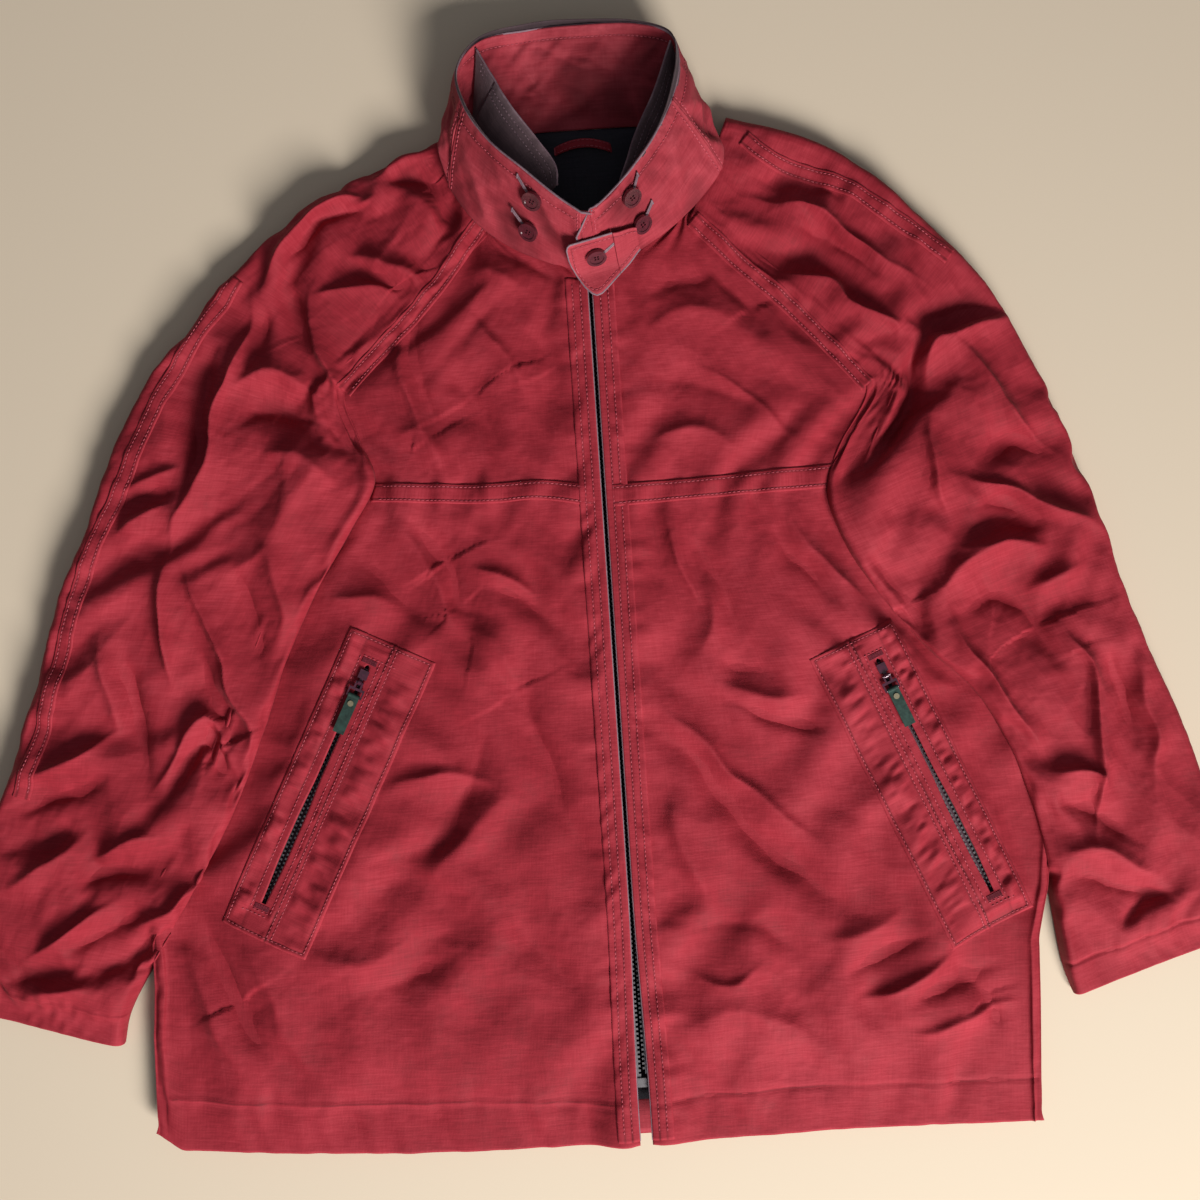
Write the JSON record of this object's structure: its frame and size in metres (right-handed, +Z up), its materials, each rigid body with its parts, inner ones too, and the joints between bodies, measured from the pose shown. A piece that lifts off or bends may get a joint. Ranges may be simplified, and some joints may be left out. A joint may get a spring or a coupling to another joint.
{
  "type": "foul weather jacket",
  "caption": "Washed cotton foul weather jacket lying flat, zipped, with raglan sleeves, standing collar, buttoned collar tab and slanted zip pockets.",
  "frame": {"origin": "middle of the footprint, on the surface that the jacket lies on", "axes": "+Z up from the surface, +Y towards the collar along the front zip, +X towards the wearer's left sleeve"},
  "size_m": [0.9562, 0.851, 0.079],
  "materials": {
    "red_cotton": "washed cotton canvas, slightly faded along the seams",
    "lining": "dark woven lining",
    "storm_cloth": "mauve brown brushed cloth",
    "pocket_cloth": "plain pocketing",
    "zip_tape": "woven zip tape",
    "gunmetal": "gunmetal plated, rubbed bright on the edges",
    "enamel": "dark purple enamel",
    "green_tab": "dark green webbing, plain",
    "pale_brass": "pale brass",
    "button_red": "polished dark red-brown"
  },
  "bodies": {
    "jacket": {"back_panel": "red_cotton", "back_lining": "lining", "hanger_loop": "red_cotton", "front_upper_right": "red_cotton", "front_upper_left": "red_cotton", "front_lower_right": "red_cotton", "front_lower_left": "red_cotton", "chest_band_right": "red_cotton", "chest_band_left": "red_cotton", "placket_right": "red_cotton", "placket_left": "red_cotton", "hem_front_right": "red_cotton", "hem_front_left": "red_cotton", "hem_back": "red_cotton", "front_lining_right": "lining", "front_lining_left": "lining", "side_seam_right": "red_cotton", "side_seam_left": "red_cotton", "sleeve_front_right": "red_cotton", "sleeve_front_left": "red_cotton", "sleeve_back_right": "red_cotton", "sleeve_back_left": "red_cotton", "sleeve_outer_seam_right": "red_cotton", "sleeve_outer_seam_left": "red_cotton", "sleeve_inner_seam_right": "red_cotton", "sleeve_inner_seam_left": "red_cotton", "cuff_right": "red_cotton", "cuff_left": "red_cotton", "collar_right": "red_cotton", "collar_left": "red_cotton", "collar_back": "red_cotton", "storm_collar_right": "storm_cloth", "storm_collar_left": "storm_cloth", "collar_buttons": "button_red", "front_zip_tapes": "zip_tape", "front_zip_teeth_right": "gunmetal", "front_zip_teeth_left": "gunmetal", "front_zip_stops": "gunmetal", "front_zip_box": "gunmetal", "front_zip_pin": "gunmetal", "pocket_patch_right": "red_cotton", "pocket_patch_left": "red_cotton", "pocket_zip_tapes_right": "zip_tape", "pocket_zip_tapes_left": "zip_tape", "pocket_zip_teeth_right": "gunmetal", "pocket_zip_teeth_left": "gunmetal", "pocket_bag_right": "pocket_cloth", "pocket_bag_left": "pocket_cloth"},
    "front_slider": {"front_zip_slider": "gunmetal"},
    "front_pull": {"front_zip_pull": "gunmetal"},
    "pocket_slider_r": {"pocket_slider_right": "enamel"},
    "pocket_slider_l": {"pocket_slider_left": "enamel"},
    "pocket_pull_r": {"pocket_pull_right": "enamel"},
    "pocket_pull_l": {"pocket_pull_left": "enamel"},
    "pocket_tab_r": {"pocket_tab_right": "green_tab", "pocket_rivet_right": "pale_brass"},
    "pocket_tab_l": {"pocket_tab_left": "green_tab", "pocket_rivet_left": "pale_brass"},
    "collar_tab_body": {"collar_tab": "red_cotton", "tab_button": "button_red"}
  },
  "joints": [
    {"name": "front_zip_slide", "type": "slide", "parent": "jacket", "child": "front_slider", "axis": [0, -1, 0], "range_m": [0, 0.62]},
    {"name": "front_pull_hinge", "type": "hinge", "parent": "front_slider", "child": "front_pull", "pos_m": [0.023, 0.263, 0.0265], "axis": [-1, 0, 0], "range_deg": [0, 150]},
    {"name": "pocket_zip_slide_r", "type": "slide", "parent": "jacket", "child": "pocket_slider_r", "axis": [-0.4617, -0.887, 0], "range_m": [0, 0.172]},
    {"name": "pocket_pull_hinge_r", "type": "hinge", "parent": "pocket_slider_r", "child": "pocket_pull_r", "pos_m": [-0.16921, -0.05949, 0.0276], "axis": [-0.887, 0.4617, 0], "range_deg": [0, 120]},
    {"name": "pocket_tab_hinge_r", "type": "hinge", "parent": "pocket_pull_r", "child": "pocket_tab_r", "pos_m": [-0.17429, -0.06925, 0.0276], "axis": [-0.887, 0.4617, 0], "range_deg": [0, 60]},
    {"name": "pocket_zip_slide_l", "type": "slide", "parent": "jacket", "child": "pocket_slider_l", "axis": [0.3827, -0.9239, 0], "range_m": [0, 0.172]},
    {"name": "pocket_pull_hinge_l", "type": "hinge", "parent": "pocket_slider_l", "child": "pocket_pull_l", "pos_m": [0.22586, -0.08039, 0.0276], "axis": [-0.9239, -0.3827, 0], "range_deg": [0, 120]},
    {"name": "pocket_tab_hinge_l", "type": "hinge", "parent": "pocket_pull_l", "child": "pocket_tab_l", "pos_m": [0.23006, -0.09056, 0.0276], "axis": [-0.9239, -0.3827, 0], "range_deg": [0, 60]},
    {"name": "collar_tab_hinge", "type": "hinge", "parent": "jacket", "child": "collar_tab_body", "pos_m": [0.04459, 0.24659, 0.04432], "axis": [-0.104, 0.4891, 0.866], "range_deg": [0, 110]}
  ]
}
